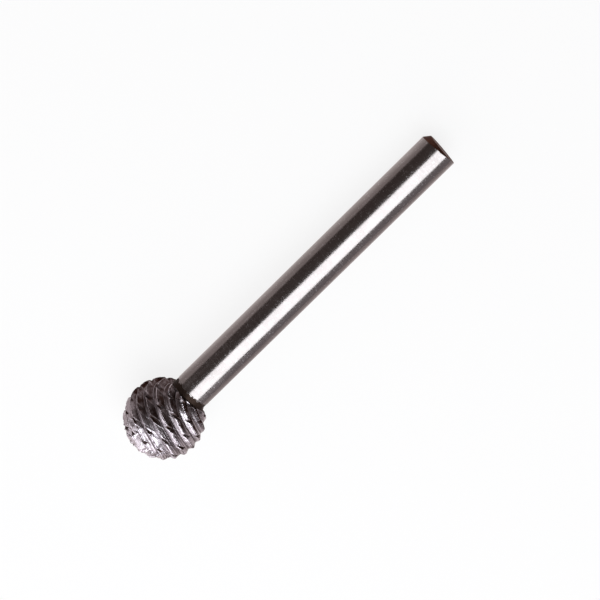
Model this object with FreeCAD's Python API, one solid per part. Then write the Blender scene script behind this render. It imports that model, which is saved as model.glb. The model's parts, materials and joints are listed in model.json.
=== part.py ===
"""Ball burr of high speed steel, one solid, lying on a level surface.

The burr is worked out upright about the Z axis, with the centre of its ball at the origin, the cutting tip
down and the shank up. The last step turns it about its own axis and lays it down. Lengths are in
millimetres and angles in degrees.

The teeth follow left-hand helices of one lead, ground round the ball. Right-hand helical notches, shallower
and narrower, break every cutting edge into short lengths.
"""
import FreeCAD, Part
import os
from math import asin, atan, cos, degrees, exp, hypot, pi, radians, sin, tan

from FreeCAD import Vector

# The ball and the shank
overall_length = 65.0
ball_diameter = 12.7
shank_diameter = 6.0
shoulder_height = 5.2           # flat back of the ball, above its centre
neck_diameter = 5.9             # short relief that the shank's grinding leaves
neck_length = 1.15
neck_fillet = 0.25
neck_step = 0.06                # length of the cone from the neck up to the shank

# The main teeth
tooth_count = 8
tooth_lead = 13.3               # height of one full left-hand turn
tooth_depth = 0.45
tooth_face_share = 0.40         # part of the pitch that the cutting face takes, the back takes the rest
tooth_land = 0.12               # width left uncut along every tooth's edge
tooth_phase = -90.0             # turn of one tooth's edge where it crosses the ball's middle

# The notches that break the cutting edges
notch_count = 4
notch_lead = 8.4                # height of one full right-hand turn
notch_depth = 0.26
notch_width = 0.62
notch_phase = -29.0             # turn of one notch at the same place

# The tip, where teeth and notches grow shallow and the teeth meet
tip_angle = 6.0                 # polar angle at which the teeth run out over the tip
notch_start_angle = 24.0
fade_sine = 0.25                # sine of the polar angle where a groove has most of its depth

# The free end of the shank, bevelled off centre and cut a little out of square
bevel_wide = 0.60
bevel_narrow = 0.06
bevel_angle = 38.0
end_skew = 4.5

# How it lies
roll_angle = -108.0             # turn about its own axis, which puts the bevel's wide side below level

# Working values
STEPS = 40                      # points along each helical edge
SINK = 0.6                      # how far the neck's root reaches into the ball
RUN_OUT_ANGLE = 155.0           # grooves run on past the shoulder, which then cuts them off
OVERSHOOT = 0.3                 # how far the top of a tool stands out of the ball
STAND_OUT = 0.03                # how far the sides of a groove's tool stand out of it
WIDEN = 0.05                    # share by which those sides run on past the land's edge

ball_radius = ball_diameter / 2
shank_radius = shank_diameter / 2
neck_radius = neck_diameter / 2
end_height = overall_length - ball_radius
neck_top = shoulder_height + neck_length


def at(radius, polar, turn):
    """Point at a radius from the ball's centre, a polar angle from the tip and a turn about the axis."""
    polar = radians(polar)
    turn = radians(turn)
    across = radius * sin(polar)
    return Vector(across * cos(turn), across * sin(turn), -radius * cos(polar))


def fade(polar):
    """Share of a groove's full depth at a polar angle: none at the tip, all of it over most of the ball."""
    return 1 - exp(-(sin(radians(polar)) / fade_sine) ** 2)


def helix_turn(polar, lead):
    """Turn that a helix of the given lead has made at a polar angle, positive lead for a right hand."""
    return -360 * ball_radius * cos(radians(polar)) / lead


def polar_steps(first, last):
    """Evenly spaced polar angles."""
    return [first + (last - first) * i / STEPS for i in range(STEPS + 1)]


def smooth_edge(points):
    """Smooth curve through points that stand at even steps of the polar angle."""
    curve = Part.BSplineCurve()
    curve.interpolate(Points=points, Parameters=[float(i) for i in range(len(points))])
    return curve.toShape()


def ruled_face(first, second):
    """Face of straight lines between two edges that are drawn at the same steps."""
    return Part.makeLoft([Part.Wire(first), Part.Wire(second)], False, True).Faces[0]


def triangle(a, b, c):
    return Part.Face(Part.makePolygon([a, b, c, a]))


def closed_solid(faces):
    """Sews faces that share their edges into one solid with its faces outwards."""
    shell = Part.Shell(faces)
    shell.sewShape()
    solid = Part.Solid(shell)
    if solid.Volume < 0:
        solid.reverse()
    return solid


def square_across(polar, gap):
    """Change of polar angle, over a gap in turn, to the point square across on the next helix of the teeth."""
    reach = sin(radians(polar))
    steepness = 2 * pi * ball_radius / tooth_lead * reach ** 2
    return gap * steepness * reach / (1 + steepness ** 2)


def groove_tool(edge_turn):
    """Tool that cuts the groove between two teeth: a back, a root line, a cutting face and a ridge outside.

    The lines at its sides run beside the two teeth's edges, half a land's width in from them, and stand a
    little out of the ball.
    """
    pitch = 360 / tooth_count
    back_gap = (1 - tooth_face_share) * pitch
    face_gap = tooth_face_share * pitch
    root = []
    ridge = []
    sides = [[], []]
    for polar in polar_steps(tip_angle, RUN_OUT_ANGLE):
        def on_helix(radius, angle, turn):
            return at(radius, angle, edge_turn + turn + helix_turn(angle, -tooth_lead))

        low = on_helix(ball_radius - tooth_depth * fade(polar), polar, back_gap)
        above = on_helix(ball_radius, polar, back_gap)
        root.append(low)
        ridge.append(on_helix(ball_radius + OVERSHOOT, polar, back_gap))
        back_edge = on_helix(ball_radius, polar - square_across(polar, back_gap), 0)
        face_edge = on_helix(ball_radius, polar + square_across(polar, face_gap), pitch)
        for side, edge in zip(sides, (back_edge, face_edge)):
            inner = edge + (above - edge).normalize() * tooth_land / 2
            outward = low + (inner - low) * (1 + WIDEN)
            side.append(outward.normalize() * (ball_radius + STAND_OUT))
    lines = [root, sides[0], ridge, sides[1]]
    edges = [smooth_edge(points) for points in lines]
    faces = [ruled_face(edges[i], edges[(i + 1) % 4]) for i in range(4)]
    for end in (0, -1):
        corners = [points[end] for points in lines]
        faces.append(triangle(corners[0], corners[1], corners[3]))
        faces.append(triangle(corners[1], corners[2], corners[3]))
    return closed_solid(faces)


def toothed_ball():
    """Ball with its teeth: grooves cut between them, which leave a narrow land on every tooth."""
    pitch = 360 / tooth_count
    ball = Part.makeSphere(ball_radius)
    return ball.cut([groove_tool(tooth_phase + i * pitch) for i in range(tooth_count)])


def notch_tool(start_turn):
    """Three-sided tool that follows one right-hand helix: its lower edge is the bottom of the notch."""
    bottom = []
    left = []
    right = []
    for polar in polar_steps(notch_start_angle, RUN_OUT_ANGLE):
        def on_ball(angle, radius=ball_radius):
            return at(radius, angle, start_turn + helix_turn(angle, notch_lead))

        depth = notch_depth * fade(polar)
        outward = at(1, polar, start_turn + helix_turn(polar, notch_lead))
        along = (on_ball(polar + 0.5) - on_ball(polar - 0.5)).normalize()
        sideways = along.cross(outward).normalize()
        half_top = notch_width / 2 * (depth + OVERSHOOT) / notch_depth
        low = on_ball(polar, ball_radius - depth)
        high = on_ball(polar, ball_radius + OVERSHOOT)
        bottom.append(low)
        left.append(high - sideways * half_top)
        right.append(high + sideways * half_top)
    edges = [smooth_edge(points) for points in (bottom, left, right)]
    faces = [ruled_face(edges[i], edges[(i + 1) % 3]) for i in range(3)]
    faces.append(triangle(bottom[0], left[0], right[0]))
    faces.append(triangle(bottom[-1], left[-1], right[-1]))
    return closed_solid(faces)


def head():
    """Toothed ball with its notches, cut flat at the shoulder."""
    ball = toothed_ball()
    pitch = 360 / notch_count
    tools = [notch_tool(notch_phase + i * pitch) for i in range(notch_count)]
    ball = ball.cut(tools)
    height = ball_radius + shoulder_height
    keep = Part.makeCylinder(ball_diameter, height, Vector(0, 0, -ball_radius))
    return ball.common(keep)


def shank():
    """Neck and shank turned in one profile, with an off-centre bevel and a skewed end face."""
    root_radius = neck_radius + neck_fillet
    fillet_top = shoulder_height + neck_fillet
    corner = Vector(root_radius - neck_fillet * cos(radians(45)), 0, fillet_top - neck_fillet * sin(radians(45)))
    low = Vector(root_radius, 0, shoulder_height - SINK)
    shoulder = Vector(root_radius, 0, shoulder_height)
    neck_foot = Vector(neck_radius, 0, fillet_top)
    neck_head = Vector(neck_radius, 0, neck_top - neck_step)
    shank_foot = Vector(shank_radius, 0, neck_top)
    shank_head = Vector(shank_radius, 0, end_height + shank_radius)
    profile = Part.Wire([
        Part.makeLine(Vector(0, 0, low.z), low),
        Part.makeLine(low, shoulder),
        Part.Arc(shoulder, corner, neck_foot).toShape(),
        Part.makeLine(neck_foot, neck_head),
        Part.makeLine(neck_head, shank_foot),
        Part.makeLine(shank_foot, shank_head),
        Part.makeLine(shank_head, Vector(0, 0, shank_head.z)),
        Part.makeLine(Vector(0, 0, shank_head.z), Vector(0, 0, low.z)),
    ])
    turned = Part.Face(profile).revolve(Vector(0, 0, 0), Vector(0, 0, 1), 360)
    return turned.common(bevel_envelope()).cut(end_cutter())


def bevel_envelope():
    """Cone that leaves the bevel: it stands off the axis, so the bevel is wide on one side and narrow opposite."""
    offset = (bevel_wide - bevel_narrow) / 2
    end_radius = shank_radius - (bevel_wide + bevel_narrow) / 2
    slope = tan(radians(bevel_angle))
    top = end_height + shank_radius * tan(radians(end_skew))
    top_radius = end_radius - (top - end_height) * slope
    base_radius = top_radius + top * slope
    return Part.makeCone(base_radius, top_radius, top, Vector(offset, 0, 0))


def end_cutter():
    """Block above the end face, which slopes down towards the bevel's narrow side."""
    size = 4 * shank_diameter
    block = Part.makeBox(size, size, size, Vector(-size / 2, -size / 2, 0))
    block.rotate(Vector(0, 0, 0), Vector(0, 1, 0), end_skew)
    block.translate(Vector(0, 0, end_height))
    return block


def lying_tilt():
    """Angle at which the axis slopes down when the ball and the rim of the shank's end both touch."""
    bevel_length = (bevel_wide + bevel_narrow) / 2 / tan(radians(bevel_angle))
    rim_height = end_height - bevel_length
    reach = hypot(rim_height, shank_radius)
    return degrees(asin(ball_radius / reach) - atan(shank_radius / rim_height))


def lay_down(shape):
    """Lays the burr along X, ball at the low end, resting on the level Z = 0 midway over the origin."""
    shape.rotate(Vector(0, 0, 0), Vector(0, 0, 1), roll_angle)
    shape.rotate(Vector(0, 0, 0), Vector(0, 1, 0), 90 + lying_tilt())
    box = shape.optimalBoundingBox()
    move = Vector(-(box.XMin + box.XMax) / 2, 0, -box.ZMin)
    shape.translate(move)
    return move


def main():
    burr = head().fuse(shank()).removeSplitter().Solids[0]
    ball_centre = lay_down(burr)
    os.makedirs("parts", exist_ok=True)
    burr.exportStep("parts/ball_burr.step")
    tilt = radians(lying_tilt())
    axis = Vector(cos(tilt), 0, -sin(tilt))
    grip = ball_centre + axis * ((neck_top + end_height) / 2)
    print("faces", len(burr.Faces), "volume", round(burr.Volume, 2), "valid", burr.isValid())
    print("ball centre", ball_centre, "axis", axis, "middle of the shank", grip)


main()
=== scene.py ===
"""Ball burr of high speed steel, lying on a white table under a soft overhead light.

The burr is one closed surface. It is worked out on a grid of stations along the profile, from the tip's pole
over the ball, shoulder, neck, shank and bevel to the pole of the end face, and of columns round the axis.

A place on it is given by its station, which is its height along the axis above the ball's centre, by its
distance across from the axis and by its turn about it, or on the ball by the polar angle from the tip. These
are in millimetres and degrees. What stands in the frame's own axes, such as the lights, is in metres.
"""

import json

import bpy
import numpy as np
from mathutils import Matrix, Vector


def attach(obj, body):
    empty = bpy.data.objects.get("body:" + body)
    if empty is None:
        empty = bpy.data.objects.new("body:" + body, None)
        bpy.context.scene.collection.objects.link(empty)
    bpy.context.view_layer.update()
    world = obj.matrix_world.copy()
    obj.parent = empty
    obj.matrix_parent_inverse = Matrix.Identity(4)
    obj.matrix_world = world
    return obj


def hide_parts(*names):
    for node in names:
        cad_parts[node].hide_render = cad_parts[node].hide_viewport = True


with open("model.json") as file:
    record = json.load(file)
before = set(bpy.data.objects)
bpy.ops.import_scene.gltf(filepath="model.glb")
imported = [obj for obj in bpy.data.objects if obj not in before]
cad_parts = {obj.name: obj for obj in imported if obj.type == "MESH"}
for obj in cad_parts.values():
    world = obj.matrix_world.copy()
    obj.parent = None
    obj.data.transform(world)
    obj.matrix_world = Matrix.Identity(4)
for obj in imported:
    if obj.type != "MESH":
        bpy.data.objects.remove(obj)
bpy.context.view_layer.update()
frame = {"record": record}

MM = 0.001

# The burr's sizes, as its solid has them
BALL_RADIUS = 6.35
SHOULDER = 5.2                  # flat back of the ball
NECK_RADIUS = 2.95
NECK_TOP = 6.35
NECK_FILLET = 0.25
NECK_STEP = 0.06                # length of the cone from the neck up to the shank
END = 58.65
BEVEL_WIDE = 0.60
BEVEL_NARROW = 0.06
BEVEL_ANGLE = 38.0
END_SKEW = 4.5
ROLL = -108.0                   # turn about its own axis, which puts the bevel's wide side below level

TOOTH_COUNT = 8
TOOTH_LEAD = 13.3               # height of one full left-hand turn
TOOTH_DEPTH = 0.45
TOOTH_FACE_SHARE = 0.40         # part of the pitch that the cutting face takes, the back takes the rest
TOOTH_LAND = 0.12
TOOTH_PHASE = -90.0             # turn of one tooth's edge where it crosses the ball's middle
NOTCH_COUNT = 4
NOTCH_LEAD = 8.4                # height of one full right-hand turn
NOTCH_DEPTH = 0.26
NOTCH_WIDTH = 0.62
NOTCH_PHASE = -29.0
FADE_SINE = 0.25                # sine of the polar angle where a groove has most of its depth

# Grinding and wear on the teeth, finer than the solid has them
GROOVE_VARIES = 0.10            # share of the depth by which a groove is deeper here and shallower there
GROOVE_WAVES = 0.022
WAVES_RISE = 3                  # the waves are full one third of the way down a groove
ROOT_ROUNDING = 0.06            # share of the depth over which back and cutting face blend at the root
NARROWEST_RUN = 0.02            # least width of a side, where the teeth run together at the tip
NOTCH_SHADE_OVER = 0.02             # a notch so much deeper than the groove has cut it away fully, and is painted fully dark as shade
CHIP_DEPTH = 0.24
CHIP_LEVEL = 0.12               # level of the noise above which an edge is chipped
CHIP_REACH = 0.5                # distance from an edge over which the chips fall off
WORN_DEPTH = 0.02
NOTCH_DRIFT = 0.02              # share of the pitch by which a notch strays from its helix
NOTCH_STRENGTH = 1.1
NOTCH_VARIES = 0.25
RIM_OUT = 0.06                  # distance of the raised rim's middle from the notch's side
RIM_WIDTH = 0.08
RIM_HEIGHT = 0.05
RIM_HIGHLIGHT_AT_EDGE = 1.2               # strength of the painted highlight on a notch's rim at a tooth's edge, before it is held at 1
RIM_HIGHLIGHT_SINKS = 0.35                # and the groove's depth over which it falls by 1
RIM_HIGHLIGHT_PATCHES = 0.3               # mean of the patches in which the rim's painted highlight shows
RIM_HIGHLIGHT_PATCHES_VARY = 0.9
INSIDE = 0.003                  # every place on the head lies at least so much inside the solid's ball
END_INSIDE = 0.002              # and the end face so much below the solid's

# Small crossing cuts over the tip
FACET_COUNT = 190
FACET_CAP = 84.0                # polar angle out to which they are spread
FACET_STRAY = 0.5               # radians by which one strays from its even place
FACET_AREA = 0.06               # square of the distance over which one gives way to the next
LEAST_WEIGHT = 1e-9             # keeps the mean of the cuts defined where none is near
FACET_SLOPE = 0.22
FACET_DEPTHS = (0.02, 0.13)
FACET_END = 82.0                # polar angle where the last of them has faded out
FACET_FADE = 38.0               # and over how much of it they fade
GOLDEN_TURN = 2.39996           # radians, the turn that spreads places evenly over a cap

# Dark skin of the heat treatment on the backs, with painted light and shade on top: lighter on the side that
# faces the lamps, darker on the side away from them and beside the neck
LAMP_SIDE_LEVEL = 0.95             # direction of the lamps' side, for the painted light and shade: so much level, and so much up
LAMP_SIDE_UP = 0.31
SKIN_START = -1.4               # station where the skin on the backs begins, halfway round
SKIN_START_LAMP_SIDE = 4.4         # how much further up it begins on the lamps' side, as painted light
SKIN_START_POWER = 1.6
SKIN_START_SHADED_SIDE = 0.9          # and how much further down on the side away from the lamps, as painted shade
SKIN_GROWTH = 2.4               # over so much of the axis it grows to full
SKIN_FIRST = 0.12               # strength of the skin where it begins
SKIN_PAST_ROOT = 0.01           # share of the pitch by which it runs on past the root
LIT_BY_ROOT = 0.30             # share of the pitch beside the root that is bare on the lamps' side, painted lighter
LIT_BY_ROOT_FROM = -0.35               # how far a place faces the lamps' side where that begins
SKIN_EDGE = 0.05                # share of the pitch over which it ends
FACE_SHADE_STRENGTH = 0.9                 # strength of the painted shade on a cutting face
LAND_CLEAR = 1.8                # a land and so much of its own half width beside it stay bare
SHADED_SIDE = -0.02              # how far a place faces the lamps' side where the cutting faces' painted shade begins
SHADED_SIDE_FROM = -0.4          # station where it begins, and over how much it grows
SHADED_SIDE_GROWTH = 1.5
NECK_SHADE_SIDE = 0.65                # the same for the painted shade beside the neck
NECK_SHADE_FROM = 3.6
NECK_SHADE_GROWTH = 0.7
SIDE_FADE = 0.3
RIM_LIGHTENED = 0.7                  # share of the skin taken off a notch's rim, as a painted highlight

# Seeds of the noises and draws, one for each use
SEEDS = {"groove depth": 3, "wear": 5, "notch drift": 7, "notch depth": 11, "chips": 13, "groove waves": 17,
         "tip facets": 23, "rim_highlights": 29}
WAVES = 4                       # sine waves in one octave of a noise
OCTAVE_FALL = 1.6               # each octave is so much weaker than the last
WAVE_SCALE = 1.2                # brings their sum back to about -1 to 1

# Steps of the grid: rows over the head, columns to a tooth and rings behind the ball
HEAD_ROWS = 400
FIRST_POLAR = 1.2               # polar angle of the first row round the tip's pole
LAND_SHARE = 0.038              # a land's half width as a share of the pitch, at the ball's middle
# Shares of the pitch at which a tooth's columns stand: its land, its back, the root and its cutting face
COLUMN_SHARES = np.concatenate([
    [0.0, LAND_SHARE * 0.6, LAND_SHARE, LAND_SHARE * 1.5],
    np.linspace(0.09, 0.59, 12), [0.60, 0.61], np.linspace(0.65, 0.93, 6),
    [1 - LAND_SHARE * 1.5, 1 - LAND_SHARE, 1 - LAND_SHARE * 0.6],
])
COLUMNS = len(COLUMN_SHARES) * TOOTH_COUNT
FILLET_STEPS = 6
NECK_STEPS = 7
SHANK_STEPS = 23
PLAIN_SHORT_OF_END = 2.0        # where the plain shank's rings stop, below the end
BELOW_BEVEL = (0.6, 0.12, 0.02)  # distances of the last plain rings below the bevel's lower edge
ON_BEVEL = (0.06, 0.5, 0.94)    # shares of the way up the bevel
ON_FACE = (0.97, 0.7, 0.4, 0.1)  # shares of the way out over the end face
SETTLING_STEPS = 30             # by then the bevel's upper edge no longer moves
TINY = 1e-6
CREASE = 22.0                   # edges that turn by more than this stay sharp

# The shank's axis comes from the record's mount, which lies at its middle
MOUNT = frame["record"]["mounts"][0]
AXIS = np.array(MOUNT["axis"])
AXIS = AXIS / np.linalg.norm(AXIS)
SHANK_RADIUS = MOUNT["dims"]["r_mm"]
BALL_CENTRE = np.array(MOUNT["pos_m"]) - AXIS * (NECK_TOP + END) / 2 * MM
LEVEL = np.array([0.0, 1.0, 0.0])
DOWN = np.cross(AXIS, LEVEL) * -1


def rad(degrees):
    """Degrees as radians."""
    return degrees * np.pi / 180


def rise(beyond, length):
    """Rises evenly from 0 to 1 while a value goes from 0 to the given length."""
    return np.clip(beyond / length, 0, 1)


def wavy(use, *coordinates, octaves=3, rate=1.0):
    """Smooth noise between about -1 and 1: a sum of sine waves in random directions over the coordinates.

    Each octave's waves are twice as fine as the last one's, and weaker.
    """
    draw = np.random.default_rng(SEEDS[use])
    total = 0.0
    for octave in range(octaves):
        for _ in range(WAVES):
            wave = draw.uniform(0, 2 * np.pi)
            for values in coordinates:
                wave = wave + draw.normal(0, 1) * rate * 2.0 ** octave * values
            total = total + np.sin(wave) / OCTAVE_FALL ** octave
    return total / (WAVES * WAVE_SCALE)


def soft_least(first, second, blend):
    """The lesser of two values, rounded over where they meet: their mean less half a blended difference."""
    return 0.5 * (first + second - np.sqrt((first - second) ** 2 + blend ** 2))


def on_ball(polar, turn):
    """Point of the full ball, in millimetres: two coordinates across its axis, then the station."""
    x = np.sin(polar) * np.cos(turn) * BALL_RADIUS
    y = np.sin(polar) * np.sin(turn) * BALL_RADIUS
    z = -np.cos(polar) * BALL_RADIUS
    return x, y, z


def groove_section(polar, share):
    """Depth of the groove between two teeth, as a share of the full one, and how far its sides sag below it.

    Measured square across the teeth it is a V: from the land the back runs straight down to the root, and
    the shorter cutting face runs up to the next land. The straight lines lie a little below the round of the
    ball, by the product of the two parts of the line over the ball's diameter.
    """
    reach = np.sin(polar)
    steepness = 2 * np.pi * BALL_RADIUS / TOOTH_LEAD * reach ** 2
    pitch = 2 * np.pi / TOOTH_COUNT * BALL_RADIUS * reach / np.sqrt(1 + steepness ** 2)
    depths = []
    sags = []
    for beyond, width in ((share, 1 - TOOTH_FACE_SHARE), (1 - share, TOOTH_FACE_SHARE)):
        run = np.maximum(pitch * width - TOOTH_LAND / 2, NARROWEST_RUN)
        gone = pitch * beyond - TOOTH_LAND / 2
        depths.append(gone / run)
        sags.append(gone * (run - gone) / (2 * BALL_RADIUS))
    depth = soft_least(depths[0], depths[1], ROOT_ROUNDING)
    sag = np.minimum(sags[0], sags[1])
    return np.maximum(depth, 0), np.maximum(sag, 0)


def ground_groove(polar, share, place, fade):
    """Depth of the grooves: the V's share of the full depth, which drifts, and fine waves on its sides."""
    section, sag = groove_section(polar, share)
    groove = TOOTH_DEPTH * (1 + GROOVE_VARIES * wavy("groove depth", *place, rate=0.6)) * fade * section + sag
    waves = GROOVE_WAVES * wavy("groove waves", *place, rate=1.3, octaves=2)
    return groove + waves * np.minimum(section * WAVES_RISE, 1) * fade


def edge_wear(polar, share, place):
    """Depth worn off the teeth: a little all over, and chips where a fine noise is high near an edge.

    A chip's depth falls off with the square of the distance from the nearest edge, as a bell curve.
    """
    to_edge = np.minimum(share, 1 - share) * 2 * np.pi / TOOTH_COUNT * BALL_RADIUS * np.sin(polar)
    chipped = np.clip(wavy("chips", *place, rate=5.5) - CHIP_LEVEL, 0, 1)
    chips = CHIP_DEPTH * chipped * np.exp(-(to_edge / CHIP_REACH) ** 2)
    return WORN_DEPTH * (0.5 + 0.5 * wavy("wear", *place, rate=1.2)) + chips


def tip_facets(polar, place):
    """Depth of the small crossing cuts over the tip, which fade out towards the ball's middle.

    Each cut is a plane with a depth and a slope of its own, at one of many places spread evenly over a cap.
    The depth at a point is the mean of the planes, each weighted by a bell curve of the distance from it.
    """
    x, y, z = place
    draw = np.random.default_rng(SEEDS["tip facets"])
    order = np.arange(FACET_COUNT)
    height = 1 - (1 - np.cos(rad(FACET_CAP))) * (order + 0.5) / FACET_COUNT
    around = order * GOLDEN_TURN + draw.uniform(-FACET_STRAY, FACET_STRAY, FACET_COUNT)
    out = np.sqrt(1 - height ** 2)
    seeds = BALL_RADIUS * np.stack([out * np.cos(around), out * np.sin(around), -height])
    slopes = draw.normal(0, FACET_SLOPE, (3, FACET_COUNT))
    deep = draw.uniform(*FACET_DEPTHS, FACET_COUNT)
    total = np.zeros_like(x)
    weight = np.full_like(x, LEAST_WEIGHT)
    for i in range(FACET_COUNT):
        dx, dy, dz = x - seeds[0, i], y - seeds[1, i], z - seeds[2, i]
        near = np.exp(-(dx ** 2 + dy ** 2 + dz ** 2) / FACET_AREA)
        total += near * (deep[i] + slopes[0, i] * dx + slopes[1, i] * dy + slopes[2, i] * dz)
        weight += near
    share = rise(rad(FACET_END) - polar, rad(FACET_FADE))
    return np.maximum(total / weight, 0) * share * share * (3 - 2 * share)


def notch_cut(polar, turn, place, fade):
    """Depth of the notches, and how strongly a notch's raised rim shows at each point.

    A notch is a V across a right-hand helix, measured square to it. It drifts from the helix a little and
    is deeper in some places. Its rim is a bell curve over the distance from a line just beside it.
    """
    helix_turn = -360 * BALL_RADIUS * np.cos(polar) / NOTCH_LEAD + NOTCH_PHASE
    pitch = 360 / NOTCH_COUNT
    off = (np.degrees(turn) - helix_turn) / pitch + NOTCH_DRIFT * wavy("notch drift", *place, rate=0.5)
    off = (off - np.round(off)) * pitch
    steepness = 2 * np.pi * BALL_RADIUS / NOTCH_LEAD * np.sin(polar) ** 2
    distance = np.abs(rad(off)) * BALL_RADIUS * np.sin(polar) / np.sqrt(1 + steepness ** 2)
    strength = NOTCH_STRENGTH + NOTCH_VARIES * wavy("notch depth", *place, rate=0.9)
    depth = NOTCH_DEPTH * strength * fade * (1 - distance / (NOTCH_WIDTH / 2))
    rim = np.exp(-((distance - NOTCH_WIDTH / 2 - RIM_OUT) / RIM_WIDTH) ** 2) * fade
    return depth, rim


def head_form(polar, turn, share):
    """Distance of the head's surface from the ball's centre, the painted shade where a notch has cut it, and
    the painted highlight on a notch's rim.

    The deeper of groove and notch is taken off the ball, then the wear, and a rim stands up beside a notch.
    The rim's painted highlight comes in patches, and is weaker down in a groove.
    """
    fade = 1 - np.exp(-(np.sin(polar) / FADE_SINE) ** 2)
    place = on_ball(polar, turn)
    groove = ground_groove(polar, share, place, fade)
    notch, rim = notch_cut(polar, turn, place, fade)
    worn = edge_wear(polar, share, place) + tip_facets(polar, place)
    cut = np.maximum(np.maximum(groove, notch), 0)
    radius = BALL_RADIUS - np.maximum(cut + worn - RIM_HEIGHT * rim, INSIDE)
    # Painted shade down in a notch, where it cuts deeper than the groove
    notch_shade = rise(notch - groove, NOTCH_SHADE_OVER)
    # Painted highlight on a notch's rim: in patches, and weaker down in a groove
    patches = np.clip(RIM_HIGHLIGHT_PATCHES + RIM_HIGHLIGHT_PATCHES_VARY * wavy("rim_highlights", *place, rate=0.8), 0, 1)
    rim_highlight = rim * np.clip(RIM_HIGHLIGHT_AT_EDGE - groove / RIM_HIGHLIGHT_SINKS, 0, 1) * patches
    return radius, notch_shade, rim_highlight


def skin_and_painted_shade(station, across, turn, share, rim):
    """How dark the skin and the painted shade on the head are, from 0 to 1.

    It covers the backs. There it begins further up the axis, and stops further from the root, the more a
    place faces the lamps, as painted light. On the side away from the lamps and beside the neck, painted
    shade covers the cutting faces too, but no land. A notch's rim is painted lighter, as a painted highlight.
    """
    angle = turn + rad(ROLL)
    # Painted light and shade: how far a place faces the lamps' side, a direction fixed in the frame
    towards = np.sin(angle) * LAMP_SIDE_LEVEL + np.cos(angle) * LAMP_SIDE_UP
    faces_lamps = np.clip(-towards * across / BALL_RADIUS, -1, 1)
    further_up = SKIN_START_LAMP_SIDE * np.abs(faces_lamps) ** SKIN_START_POWER
    start = SKIN_START + np.where(faces_lamps > 0, further_up, SKIN_START_SHADED_SIDE * faces_lamps)
    back_end = 1 - TOOTH_FACE_SHARE + SKIN_PAST_ROOT - LIT_BY_ROOT * rise(faces_lamps - LIT_BY_ROOT_FROM, 1)
    on_backs = np.clip((station - start) / SKIN_GROWTH + SKIN_FIRST, 0, 1) * rise(back_end - share, SKIN_EDGE)
    cutting_face = (share > 1 - TOOTH_FACE_SHARE) & (share < 1 - LAND_SHARE * LAND_CLEAR)
    # Painted shade on the cutting faces, on the side away from the lamps and beside the neck
    away_side_shade = rise(SHADED_SIDE - faces_lamps, SIDE_FADE) * rise(station - SHADED_SIDE_FROM, SHADED_SIDE_GROWTH)
    neck_shade = rise(NECK_SHADE_SIDE - faces_lamps, SIDE_FADE) * rise(station - NECK_SHADE_FROM, NECK_SHADE_GROWTH)
    face_shade = FACE_SHADE_STRENGTH * np.maximum(away_side_shade, neck_shade) * cutting_face
    return np.maximum(on_backs, face_shade) * (1 - RIM_LIGHTENED * rim)


def head_grid():
    """Grid of the head: station, distance across, turn, darkness of the skin and painted shade, and the turn
    at the ball's middle.

    A column follows a tooth's helix, so every edge and root lies on a column. Its turn at a row is the turn
    at the ball's middle plus the helix's own. Where the surface would reach past the shoulder, it is brought
    back along the line to the ball's centre until it lies in the shoulder's plane.
    """
    share = np.tile(COLUMN_SHARES, TOOTH_COUNT)[None, :]
    tooth = np.repeat(np.arange(TOOTH_COUNT), len(COLUMN_SHARES))[None, :]
    middle_turn = TOOTH_PHASE + (tooth + share) * 360 / TOOTH_COUNT
    last_polar = 180 - np.degrees(np.arctan2(NECK_RADIUS + NECK_FILLET, SHOULDER))
    polar = rad(np.linspace(FIRST_POLAR, last_polar, HEAD_ROWS))[:, None]
    turn = rad(middle_turn + 360 * BALL_RADIUS * np.cos(polar) / TOOTH_LEAD)
    radius, notch_shade, rim = head_form(polar, turn, share)
    above_middle = np.cos(polar) < 0
    to_shoulder = np.where(above_middle, SHOULDER / np.maximum(-np.cos(polar), TINY), np.inf)
    radius = np.minimum(radius, to_shoulder)
    station = -radius * np.cos(polar)
    across = radius * np.sin(polar)
    # Dark skin with its painted light and shade, and the painted shade in the notches
    dark = np.maximum(skin_and_painted_shade(station, across, turn, share, rim), notch_shade)
    return station, across, turn, dark, np.repeat(rad(middle_turn), HEAD_ROWS, axis=0)


def shank_rings():
    """Station and radius of the rings from the shoulder to short of the bevel, as columns of an array.

    The fillet is a quarter circle from the shoulder's plane up into the neck. The neck and the shank are
    cylinders, and a short cone joins them.
    """
    bend = rad(np.linspace(0, 90, FILLET_STEPS + 1)[1:])
    neck = np.linspace(SHOULDER + NECK_FILLET, NECK_TOP - NECK_STEP, NECK_STEPS + 1)[1:]
    shank = np.linspace(NECK_TOP, END - PLAIN_SHORT_OF_END, SHANK_STEPS + 1)
    station = np.concatenate([SHOULDER + NECK_FILLET * (1 - np.cos(bend)), neck, shank])
    radius = np.concatenate([
        NECK_RADIUS + NECK_FILLET * (1 - np.sin(bend)),
        np.full(len(neck), NECK_RADIUS),
        np.full(len(shank), SHANK_RADIUS),
    ])
    return station[:, None], radius[:, None]


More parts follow.
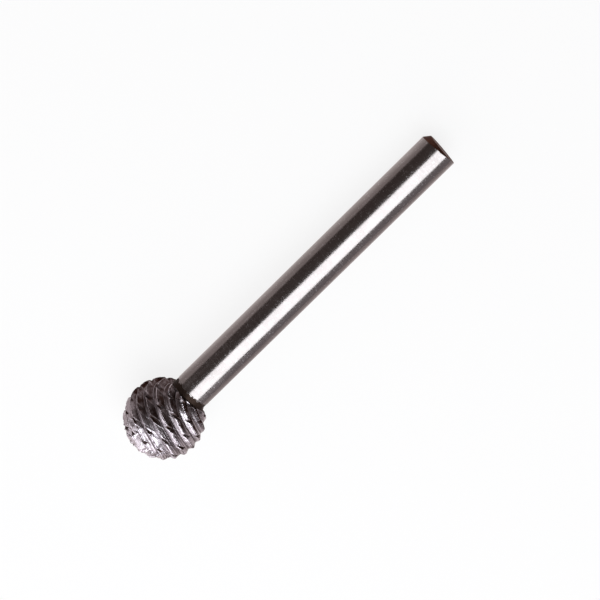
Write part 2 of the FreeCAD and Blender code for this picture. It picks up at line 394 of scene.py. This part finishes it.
def end_rings(turn):
    """Rings of the shank's end: the bevel's lower edge, its upper edge on the skewed face, then the face.

    The bevel is a cone that stands off the axis towards turn 0, so it is wide opposite and narrow there. Its
    lower edge lies where the cone is as far from the axis as the shank's surface is. Its upper edge is found
    by steps: at each one the distance across changes by what is missing to the cone at the face's height.
    """
    offset = (BEVEL_WIDE - BEVEL_NARROW) / 2
    end_radius = SHANK_RADIUS - (BEVEL_WIDE + BEVEL_NARROW) / 2
    slope = np.tan(rad(BEVEL_ANGLE))
    skew = np.tan(rad(END_SKEW))

    def from_cone_axis(across):
        """Distance of a point of the turn from the cone's own axis."""
        return np.hypot(across * np.cos(turn) - offset, across * np.sin(turn))

    plain = np.full_like(turn, SHANK_RADIUS)
    across = plain
    for _ in range(SETTLING_STEPS):
        cone_radius = across * np.cos(turn) * skew * slope + end_radius
        across = np.minimum(across + (cone_radius - from_cone_axis(across)), SHANK_RADIUS)
    upper = END - END_INSIDE - across * np.cos(turn) * skew
    lower = np.minimum(END - (from_cone_axis(plain) - end_radius) / slope, upper)
    stations = [lower - gap for gap in BELOW_BEVEL]
    radii = [plain for _ in BELOW_BEVEL]
    for part in ON_BEVEL:
        stations.append(lower + (upper - lower) * part)
        radii.append(SHANK_RADIUS + (across - SHANK_RADIUS) * part)
    stations.append(upper)
    radii.append(across)
    for part in ON_FACE:
        stations.append(END - END_INSIDE - across * part * np.cos(turn) * skew)
        radii.append(across * part)
    return np.vstack(stations), np.vstack(radii)


def burr_grid():
    """Grid of the whole burr: the head's rows, then rings of the neck and shank, then those of the end.

    Behind the head each column goes straight up at the turn that its helix has reached, and has no skin or
    painted shade.
    """
    station, across, turn, dark, middle_turn = head_grid()
    last_turn = turn[-1:]
    ring_station, ring_radius = shank_rings()
    end_station, end_across = end_rings(last_turn)
    station = np.vstack([station, ring_station + 0 * last_turn, end_station])
    across = np.vstack([across, ring_radius + 0 * last_turn, end_across])
    beyond = len(station) - HEAD_ROWS
    turn = np.vstack([turn, np.repeat(last_turn, beyond, axis=0)])
    dark = np.vstack([dark, np.zeros((beyond, COLUMNS))])
    middle_turn = np.vstack([middle_turn, np.repeat(middle_turn[:1], beyond, axis=0)])
    return station, across, turn, dark, middle_turn


def in_place(station, across, turn):
    """Points of the frame, in metres: from the ball's centre along the axis, then out at the turn."""
    angle = turn + rad(ROLL)
    side = np.cos(angle)[..., None] * DOWN + np.sin(angle)[..., None] * LEVEL
    return BALL_CENTRE + (station[..., None] * AXIS + across[..., None] * side) * MM


def burr_mesh():
    """Mesh of the burr's grid, closed by a fan of triangles at the tip's pole and one at the end's.

    A point's attributes are its station, its depth below the ball, how dark its skin and painted shade are,
    and its place on a cylinder round the ball at its column's own turn, by which the streaks follow the
    teeth.
    """
    station, across, turn, dark, middle_turn = burr_grid()
    rows = len(station)
    on_axis = np.array(0.0)
    poles = [in_place(station[0].mean(), on_axis, on_axis),
             in_place(np.array(END - END_INSIDE), on_axis, on_axis)]
    points = np.vstack([in_place(station, across, turn).reshape(-1, 3), poles])
    index = np.arange(rows * COLUMNS).reshape(rows, COLUMNS)
    following = np.roll(index, -1, axis=1)
    quads = np.stack([index[:-1], following[:-1], following[1:], index[1:]], axis=-1).reshape(-1, 4)
    tip = rows * COLUMNS
    tip_fan = np.stack([following[0], index[0], np.full(COLUMNS, tip)], axis=-1)
    end_fan = np.stack([index[-1], following[-1], np.full(COLUMNS, tip + 1)], axis=-1)
    mesh = bpy.data.meshes.new("ball_burr_steel")
    mesh.from_pydata(points.tolist(), [], quads.tolist() + tip_fan.tolist() + end_fan.tolist())
    depth = BALL_RADIUS - np.hypot(station, across)
    for name, values, at_poles in (("station", station, (-BALL_RADIUS, END)), ("depth", depth, (0, 0)),
                                   ("dark", dark, (0, 0))):
        data = np.append(values.reshape(-1), at_poles).astype(np.float32)
        mesh.attributes.new(name, "FLOAT", "POINT").data.foreach_set("value", data)
    on_cylinder = (np.cos(middle_turn) * BALL_RADIUS, np.sin(middle_turn) * BALL_RADIUS, station)
    along_teeth = np.stack(on_cylinder, axis=-1).reshape(-1, 3)
    along_teeth = np.vstack([along_teeth, [[0, 0, -BALL_RADIUS], [0, 0, END]]])
    data = along_teeth.reshape(-1).astype(np.float32)
    mesh.attributes.new("along_teeth", "FLOAT_VECTOR", "POINT").data.foreach_set("vector", data)
    mesh.shade_smooth()
    mesh.set_sharp_from_angle(angle=rad(CREASE))
    mesh.update()
    return mesh


# The ground shank and its dark ring: colours as red, green, blue and opacity, and reliefs in millimetres
STEEL_DULL = (0.236, 0.216, 0.213, 1)
STEEL_CLEAR = (0.275, 0.254, 0.251, 1)
STEEL_SCUFFED = (0.48, 0.47, 0.49, 1)
STEEL_ROUGHNESS = (0.16, 0.25)
SCUFF_STRENGTH = 0.9
SCUFF_ROUGHNESS = 0.22
RINGS_RELIEF = 0.0030
GRAIN_RELIEF = 0.0022
RING_SCALE = (0.028, 0.018, 0.014, 1)
RING_EDGE_TINT = (0.35, 0.27, 0.22, 1)
RING_METAL = 0.5
RING_SHINE = 0.15
RING_ROUGHNESS = 0.20
RING_RAGGED = 1.2               # millimetres by which a noise moves the ring's edge
RING_END = (NECK_TOP + 0.36, NECK_TOP + 0.46)
PLAIN_SHINE = 0.5

# The ground teeth, their dark skin with painted light and shade, and the painted shade in their gullets
TOOTH_STREAK = (0.15, 0.125, 0.135, 1)
TOOTH_GROUND = (0.48, 0.445, 0.48, 1)
TOOTH_BRIGHT = (0.70, 0.66, 0.71, 1)
TOOTH_ROUGHNESS = (0.16, 0.30)
# Colour of the dark skin, which also paints the shade in the notches, gullets, by the neck and away from the
# lamps
TOOTH_SKIN_AND_SHADE = (0.050, 0.031, 0.027, 1)
SKIN_AND_SHADE_EDGE_TINT = (0.22, 0.17, 0.15, 1)
SKIN_THIN = (0.6, 0.4)          # shares of the patches and the streaks in where the skin is thin
SKIN_STRENGTH = (0.50, 1.0)
SKIN_ROUGHNESS = 0.18
GULLET_SHADE_DEPTHS = (0.34, 0.62)     # depths below the ball between which the painted shade in the gullets grows
GULLET_SHADE_GRAIN = 0.2               # and how much the grain adds to the depth
GULLET_SHADE_STRENGTH = 0.7
GULLET_SHADE_FROM = (-4.5, -1.5)       # stations between which it comes in
STREAK_RELIEF = 0.040
TOOTH_GRAIN_RELIEF = 0.010

# The scale behind the ball and on the shank's end
NECK_SCALE = ((0.022, 0.016, 0.013, 1), (0.055, 0.041, 0.034, 1))
BEVEL_SCALE = ((0.045, 0.018, 0.012, 1), (0.10, 0.045, 0.03, 1))
SCALE_EDGE_TINT = (0.4, 0.3, 0.25, 1)
SCALE_ROUGHNESS = (0.32, 0.52)
SCALE_METAL = 0.6
SCALE_SHINE = 0.2
SCALE_RELIEF = 0.02

WHITE = (1, 1, 1, 1)
ON_TEETH, ON_NECK, ON_SHANK, ON_END = range(4)
FLAT_SLACK = 0.005              # how far below the shoulder a face still counts as part of it
FILLET_SCALED = 0.3             # share of the fillet that the flat's scale covers


class Finish:
    """Short calls for building one material's node tree.

    A value is a number, a colour or a (node, output) pair.
    """

    def __init__(self, name):
        self.material = bpy.data.materials.new(name)
        self.material.use_nodes = True
        self.tree = self.material.node_tree
        self.tree.nodes.clear()
        self.output = self.add("ShaderNodeOutputMaterial")
        self.shader = self.add("ShaderNodeBsdfPrincipled")
        self.join(self.shader, "BSDF", self.output, "Surface")

    def add(self, kind, **settings):
        """New node of a kind."""
        node = self.tree.nodes.new(kind)
        for key, value in settings.items():
            setattr(node, key, value)
        return node

    def join(self, source, out, target, socket):
        """Link from one node's output to another's socket."""
        self.tree.links.new(source.outputs[out], target.inputs[socket])

    def feed(self, node, socket, value):
        """Links a (node, output) to a socket, or sets the socket to a plain value."""
        if isinstance(value, tuple) and isinstance(value[0], bpy.types.Node):
            self.join(value[0], value[1], node, socket)
        else:
            node.inputs[socket].default_value = value

    def give(self, socket, value):
        """Feeds a socket of the shader itself."""
        self.feed(self.shader, socket, value)

    def attribute(self, name):
        """Value of one of the mesh's own attributes."""
        return self.add("ShaderNodeAttribute", attribute_name=name), "Fac"

    def math(self, operation, first, second):
        """Math node on two values."""
        node = self.add("ShaderNodeMath", operation=operation)
        self.feed(node, 0, first)
        self.feed(node, 1, second)
        return node, "Value"

    def ramp(self, source, stops):
        """Colour ramp over a value, with stops of (place, colour)."""
        node = self.add("ShaderNodeValToRGB")
        self.feed(node, "Fac", source)
        elements = node.color_ramp.elements
        while len(elements) < len(stops):
            elements.new(1.0)
        for element, (place, colour) in zip(elements, stops):
            element.position = place
            element.color = colour
        return node, "Color"

    def between(self, source, old, new):
        """Maps a value evenly from an old range to a new one, and keeps it inside that."""
        node = self.add("ShaderNodeMapRange")
        self.feed(node, "Value", source)
        for socket, value in zip(("From Min", "From Max", "To Min", "To Max"), old + new):
            node.inputs[socket].default_value = value
        return node, "Result"

    def scaled_noise(self, vector, scale, detail, roughness):
        """Noise over a vector, with its three coordinates scaled."""
        scaled = self.add("ShaderNodeMapping")
        scaled.inputs["Scale"].default_value = scale
        self.feed(scaled, "Vector", vector)
        noise = self.add("ShaderNodeTexNoise")
        noise.inputs["Scale"].default_value = 1.0
        noise.inputs["Detail"].default_value = detail
        noise.inputs["Roughness"].default_value = roughness
        self.join(scaled, "Vector", noise, "Vector")
        return noise, "Fac"

    def noise(self, along, around, detail, roughness=0.55):
        """Noise on Object coordinates turned to the burr's axis, with so many grains to a millimetre."""
        turned = self.add("ShaderNodeMapping")
        turned.inputs["Rotation"].default_value = (0, -float(np.arctan2(-AXIS[2], AXIS[0])), 0)
        self.join(self.add("ShaderNodeTexCoord"), "Object", turned, "Vector")
        scale = (along / MM, around / MM, around / MM)
        return self.scaled_noise((turned, "Vector"), scale, detail, roughness)

    def streaks(self, across, along, detail):
        """Noise drawn out along the teeth, with so many grains to a millimetre across and along them."""
        place = self.add("ShaderNodeAttribute", attribute_name="along_teeth")
        return self.scaled_noise((place, "Vector"), (across, across, along), detail, roughness=0.5)

    def mix(self, share, first, second):
        """Colour between two. Sockets 6 and 7 are the node's two colours."""
        node = self.add("ShaderNodeMix", data_type="RGBA")
        self.feed(node, "Factor", share)
        self.feed(node, 6, first)
        self.feed(node, 7, second)
        return node, "Result"

    def bump(self, height, deep, under=None):
        """Relief of a height, so many millimetres deep, on top of another relief."""
        node = self.add("ShaderNodeBump")
        node.inputs["Strength"].default_value = 1.0
        node.inputs["Distance"].default_value = deep * MM
        self.feed(node, "Height", height)
        if under:
            self.feed(node, "Normal", under)
        return node, "Normal"


def shank_steel():
    """Ground and polished steel, with rings left by grinding, fine grain, scuffs and a dark ring at the neck.

    The ring is heat-treatment scale with a ragged edge, where the grinding wheel ran out short of the ball:
    the steel is ground above a station that a noise moves up and down.
    """
    steel = Finish("ground_shank_steel")
    rings = steel.noise(along=7.0, around=0.35, detail=4)
    grain = steel.noise(along=2.2, around=2.6, detail=5, roughness=0.75)
    cloud = steel.noise(along=0.25, around=0.5, detail=3)
    ragged = steel.noise(along=1.3, around=1.5, detail=4, roughness=0.6)
    height = steel.math("ADD", steel.attribute("station"), steel.math("MULTIPLY", ragged, RING_RAGGED))
    ground = steel.between(height, RING_END, (0.0, 1.0))
    scuffs = steel.between(grain, (0.57, 0.72), (0.0, SCUFF_STRENGTH))
    colour = steel.mix(scuffs, steel.ramp(cloud, [(0.3, STEEL_DULL), (0.7, STEEL_CLEAR)]), STEEL_SCUFFED)
    polish = steel.between(rings, (0.3, 0.7), STEEL_ROUGHNESS)
    polish = steel.math("ADD", polish, steel.math("MULTIPLY", scuffs, SCUFF_ROUGHNESS))
    steel.give("Base Color", steel.mix(ground, RING_SCALE, colour))
    steel.give("Metallic", steel.between(ground, (0, 1), (RING_METAL, 1.0)))
    steel.give("Roughness", steel.math("ADD", polish, steel.between(ground, (0, 1), (RING_ROUGHNESS, 0.0))))
    steel.give("Specular IOR Level", steel.between(ground, (0, 1), (RING_SHINE, PLAIN_SHINE)))
    steel.give("Specular Tint", steel.mix(ground, RING_EDGE_TINT, WHITE))
    steel.give("Normal", steel.bump(rings, RINGS_RELIEF, under=steel.bump(grain, GRAIN_RELIEF)))
    return steel.material


def tooth_steel():
    """Teeth: bright ground cutting faces and lands, dark backs, and painted shade down in the gullets.

    The backs keep a dark skin that thins out towards the tip, where the grinding has gone over everything.
    The grinding leaves streaks along the teeth.
    """
    steel = Finish("ground_tooth_steel")
    grain = steel.noise(along=4.0, around=2.0, detail=5)
    streaks = steel.streaks(across=3.4, along=0.45, detail=4)
    patches = steel.noise(along=0.8, around=0.8, detail=4)
    thin_patches = steel.math("MULTIPLY", patches, SKIN_THIN[0])
    thin = steel.math("ADD", thin_patches, steel.math("MULTIPLY", streaks, SKIN_THIN[1]))
    # The skin with its painted light and shade, thinner in patches and streaks
    thinned_skin_and_shade = steel.math("MULTIPLY", steel.attribute("dark"), steel.between(thin, (0.36, 0.54), SKIN_STRENGTH))
    # Painted shade in the gullets: darker the deeper below the ball, away from the tip
    depth = steel.math("ADD", steel.attribute("depth"), steel.math("MULTIPLY", grain, GULLET_SHADE_GRAIN))
    above_tip = steel.between(steel.attribute("station"), GULLET_SHADE_FROM, (0.0, 1.0))
    gullet_shade = steel.math("MULTIPLY", steel.between(depth, GULLET_SHADE_DEPTHS, (0.0, GULLET_SHADE_STRENGTH)), above_tip)
    dark = steel.math("MAXIMUM", thinned_skin_and_shade, gullet_shade)
    bright = steel.ramp(streaks, [(0.38, TOOTH_STREAK), (0.47, TOOTH_GROUND), (0.60, TOOTH_BRIGHT)])
    roughness = steel.between(grain, (0.3, 0.75), TOOTH_ROUGHNESS)
    steel.give("Base Color", steel.mix(dark, bright, TOOTH_SKIN_AND_SHADE))
    steel.give("Specular Tint", steel.mix(dark, WHITE, SKIN_AND_SHADE_EDGE_TINT))
    steel.give("Metallic", 1.0)
    steel.give("Roughness", steel.math("ADD", roughness, steel.math("MULTIPLY", dark, SKIN_ROUGHNESS)))
    steel.give("Normal", steel.bump(streaks, STREAK_RELIEF, under=steel.bump(grain, TOOTH_GRAIN_RELIEF)))
    return steel.material


def scale_steel(name, colours):
    """Steel under a skin of heat-treatment scale, left where no grinding reached: patches of two colours."""
    steel = Finish(name)
    patches = steel.noise(along=2.5, around=2.5, detail=6, roughness=0.65)
    steel.give("Base Color", steel.ramp(patches, [(0.35, colours[0]), (0.7, colours[1])]))
    steel.give("Metallic", SCALE_METAL)
    steel.give("Specular IOR Level", SCALE_SHINE)
    steel.give("Specular Tint", SCALE_EDGE_TINT)
    steel.give("Roughness", steel.between(patches, (0.3, 0.7), SCALE_ROUGHNESS))
    steel.give("Normal", steel.bump(patches, SCALE_RELIEF))
    return steel.material


def finish_of_faces(mesh):
    """Number of each face's finish.

    On the head, neck and shank it goes by the mean station of the face's corners. The faces from just below
    the bevel to the end's pole are the last rows of the grid and the last fan.
    """
    stations = np.empty(len(mesh.vertices), dtype=np.float32)
    mesh.attributes["station"].data.foreach_get("value", stations)
    corners = np.empty(len(mesh.loops), dtype=np.int32)
    mesh.loops.foreach_get("vertex_index", corners)
    starts = np.empty(len(mesh.polygons), dtype=np.int32)
    mesh.polygons.foreach_get("loop_start", starts)
    middle = np.add.reduceat(stations[corners], starts) / np.diff(np.append(starts, len(corners)))
    finish = np.full(len(starts), ON_TEETH, dtype=np.int32)
    finish[middle > SHOULDER - FLAT_SLACK] = ON_NECK
    finish[middle > SHOULDER + NECK_FILLET * FILLET_SCALED] = ON_SHANK
    quads = len(starts) - 2 * COLUMNS
    end_rows = len(ON_BEVEL) + 1 + len(ON_FACE)
    finish[quads - end_rows * COLUMNS:quads] = ON_END
    finish[quads + COLUMNS:] = ON_END
    return finish


def build_burr():
    """The burr with its four finishes, in place of its solid."""
    mesh = burr_mesh()
    burr = bpy.data.objects.new("ball_burr_steel", mesh)
    bpy.context.scene.collection.objects.link(burr)
    mesh.materials.append(tooth_steel())
    mesh.materials.append(scale_steel("neck_scale", NECK_SCALE))
    mesh.materials.append(shank_steel())
    mesh.materials.append(scale_steel("bevel_scale", BEVEL_SCALE))
    mesh.polygons.foreach_set("material_index", finish_of_faces(mesh))
    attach(burr, "root")
    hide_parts("ball_burr")


# The white table, in metres
TABLE_HALF = 3.0
TABLE_GREY = (0.75, 0.75, 0.75, 1)
TABLE_ROUGHNESS = 0.9
TABLE_WHITE = 0.85              # share of plain white that the camera and the metal see, the rest is lit
DIM_FROM = 0.006                # where the table's painted reflection in the metal begins to dim, to either side of the burr
DIM_TO = 0.015
NEAR_IN_METAL = (1.0, 0.90, 0.88, 1)
FAR_IN_METAL = (0.55, 0.46, 0.45, 1)


def table_top():
    """White table: it takes the burr's shadow, and looks white to the camera.

    In the metal it shows too, as a painted reflection, a little warm, and dimmer further out to either side
    of the burr.
    """
    half = TABLE_HALF
    corners = [(-half, -half, 0), (half, -half, 0), (half, half, 0), (-half, half, 0)]
    mesh = bpy.data.meshes.new("table_top")
    mesh.from_pydata(corners, [], [(0, 1, 2, 3)])
    table = bpy.data.objects.new("table_top", mesh)
    bpy.context.scene.collection.objects.link(table)
    white = Finish("white_table")
    white.give("Base Color", TABLE_GREY)
    white.give("Roughness", TABLE_ROUGHNESS)
    white.give("Specular IOR Level", 0.0)
    path = white.add("ShaderNodeLightPath")
    place = white.add("ShaderNodeSeparateXYZ")
    white.join(white.add("ShaderNodeTexCoord"), "Object", place, "Vector")
    # Painted reflection: the table as the metal sees it, warm, and dimming away from the burr
    away = white.between(white.math("ABSOLUTE", (place, "Y"), 0.0), (DIM_FROM, DIM_TO), (0.0, 1.0))
    in_metal = white.mix(away, NEAR_IN_METAL, FAR_IN_METAL)
    glow = white.add("ShaderNodeEmission")
    white.feed(glow, "Color", white.mix((path, "Is Glossy Ray"), WHITE, in_metal))
    mirrored = white.math("MAXIMUM", (path, "Is Glossy Ray"), (path, "Is Transmission Ray"))
    seen = white.math("MAXIMUM", (path, "Is Camera Ray"), mirrored)
    blend = white.add("ShaderNodeMixShader")
    white.feed(blend, "Fac", white.math("MULTIPLY", seen, TABLE_WHITE))
    white.join(white.shader, "BSDF", blend, 1)
    white.join(glow, "Emission", blend, 2)
    white.join(blend, "Shader", white.output, "Surface")
    mesh.materials.append(white.material)


# The camera, from the places of the ball's centre and of the shank's axis in a 600 pixel square picture
PICTURE = 600
FOCAL_PIXELS = 1750
SENSOR = 36.0                   # millimetres
CLIP_START = 0.01               # metres
AXIS_ANGLE = 44.37              # of the shank's axis above the picture's horizontal
AXIS_LEAN = 9.9                 # of the shank's end towards the camera
CAMERA_SIDE = 18.0              # how far the camera stands over to the level side, off overhead
BALL_PIXEL = (164.5, 418.4)
BALL_RANGE = 266.7              # millimetres from the camera to the ball's centre, along its line of sight


def camera_axes():
    """Unit vectors of the picture's right and up, and back towards the camera.

    The camera looks square at the axis from overhead, is turned about the axis to one side, leans along it
    and is then turned about its own line of sight until the axis lies at its angle in the picture.
    """
    overhead = -DOWN
    across = -LEVEL * np.cos(rad(CAMERA_SIDE)) + overhead * np.sin(rad(CAMERA_SIDE))
    facing = np.cross(across, AXIS)
    back = np.cos(rad(AXIS_LEAN)) * facing + np.sin(rad(AXIS_LEAN)) * AXIS
    along = np.cos(rad(AXIS_LEAN)) * AXIS - np.sin(rad(AXIS_LEAN)) * facing
    right = np.cos(rad(AXIS_ANGLE)) * along + np.sin(rad(AXIS_ANGLE)) * across
    up = np.sin(rad(AXIS_ANGLE)) * along - np.cos(rad(AXIS_ANGLE)) * across
    return right, up, back


def place_camera():
    """Camera that sees the ball's centre at its pixel, from its range.

    It stands back from the ball along the ray through that pixel.
    """
    right, up, back = camera_axes()
    x = (BALL_PIXEL[0] - PICTURE / 2) / FOCAL_PIXELS * BALL_RANGE
    y = (PICTURE / 2 - BALL_PIXEL[1]) / FOCAL_PIXELS * BALL_RANGE
    spot = BALL_CENTRE - (x * right + y * up - BALL_RANGE * back) * MM
    data = bpy.data.cameras.new("camera")
    data.sensor_width = SENSOR
    data.lens = FOCAL_PIXELS / PICTURE * SENSOR
    data.clip_start = CLIP_START
    camera = bpy.data.objects.new("camera", data)
    bpy.context.scene.collection.objects.link(camera)
    turned = Matrix(np.array([right, up, back]).T.tolist()).to_4x4()
    camera.matrix_world = Matrix.Translation(Vector(spot)) @ turned
    bpy.context.scene.camera = camera


# The soft lights, in metres: where each stands, what it faces, its two sides, its brightness and its colour
BALL_SPOT = (-0.026, 0.0, 0.006)
SOFT_LIGHTS = {
    "overhead": ((-0.045, -0.091, 0.410), (-0.045, 0.0, 0.0), (0.27, 0.495), 4.2, (0.96, 1.0, 1.03)),
    "tip_side": ((-0.381, -0.031, 0.223), BALL_SPOT, (0.76, 0.43), 1.5, (0.99, 0.97, 1.0)),
    "side_panel": ((-0.03, -0.55, 0.21), (-0.03, 0.0, 0.005), (0.50, 0.40), 0.27, (0.97, 0.93, 1.0)),
    "corner_panel": ((-0.340, -0.349, 0.177), BALL_SPOT, (0.40, 0.33), 1.8, (0.98, 0.96, 1.0)),
    "far_panel": ((-0.336, 0.360, 0.146), BALL_SPOT, (0.36, 0.27), 0.8, (1.0, 0.96, 0.98)),
}
ROOM_COLOUR = (0.106, 0.083, 0.078, 1)


def soft_light(name, place, target, sides, brightness, colour):
    """Rectangular light that faces a target: its power is its brightness times pi times its area."""
    data = bpy.data.lights.new(name, "AREA")
    data.shape = "RECTANGLE"
    data.size, data.size_y = sides
    data.energy = brightness * np.pi * sides[0] * sides[1]
    data.color = colour
    light = bpy.data.objects.new(name, data)
    bpy.context.scene.collection.objects.link(light)
    light.location = place
    facing = (Vector(target) - Vector(place)).normalized()
    light.rotation_mode = "QUATERNION"
    light.rotation_quaternion = facing.to_track_quat("-Z", "Y")


def light_scene():
    """A long soft box overhead, three more low round the tip, a dim panel at one side and a dim warm room."""
    for name, settings in SOFT_LIGHTS.items():
        soft_light(name, *settings)
    world = bpy.data.worlds.new("dim_room")
    bpy.context.scene.world = world
    world.use_nodes = True
    background = world.node_tree.nodes["Background"]
    background.inputs["Color"].default_value = ROOM_COLOUR
    background.inputs["Strength"].default_value = 1.0


build_burr()
table_top()
place_camera()
light_scene()
bpy.context.scene.view_settings.view_transform = "Standard"
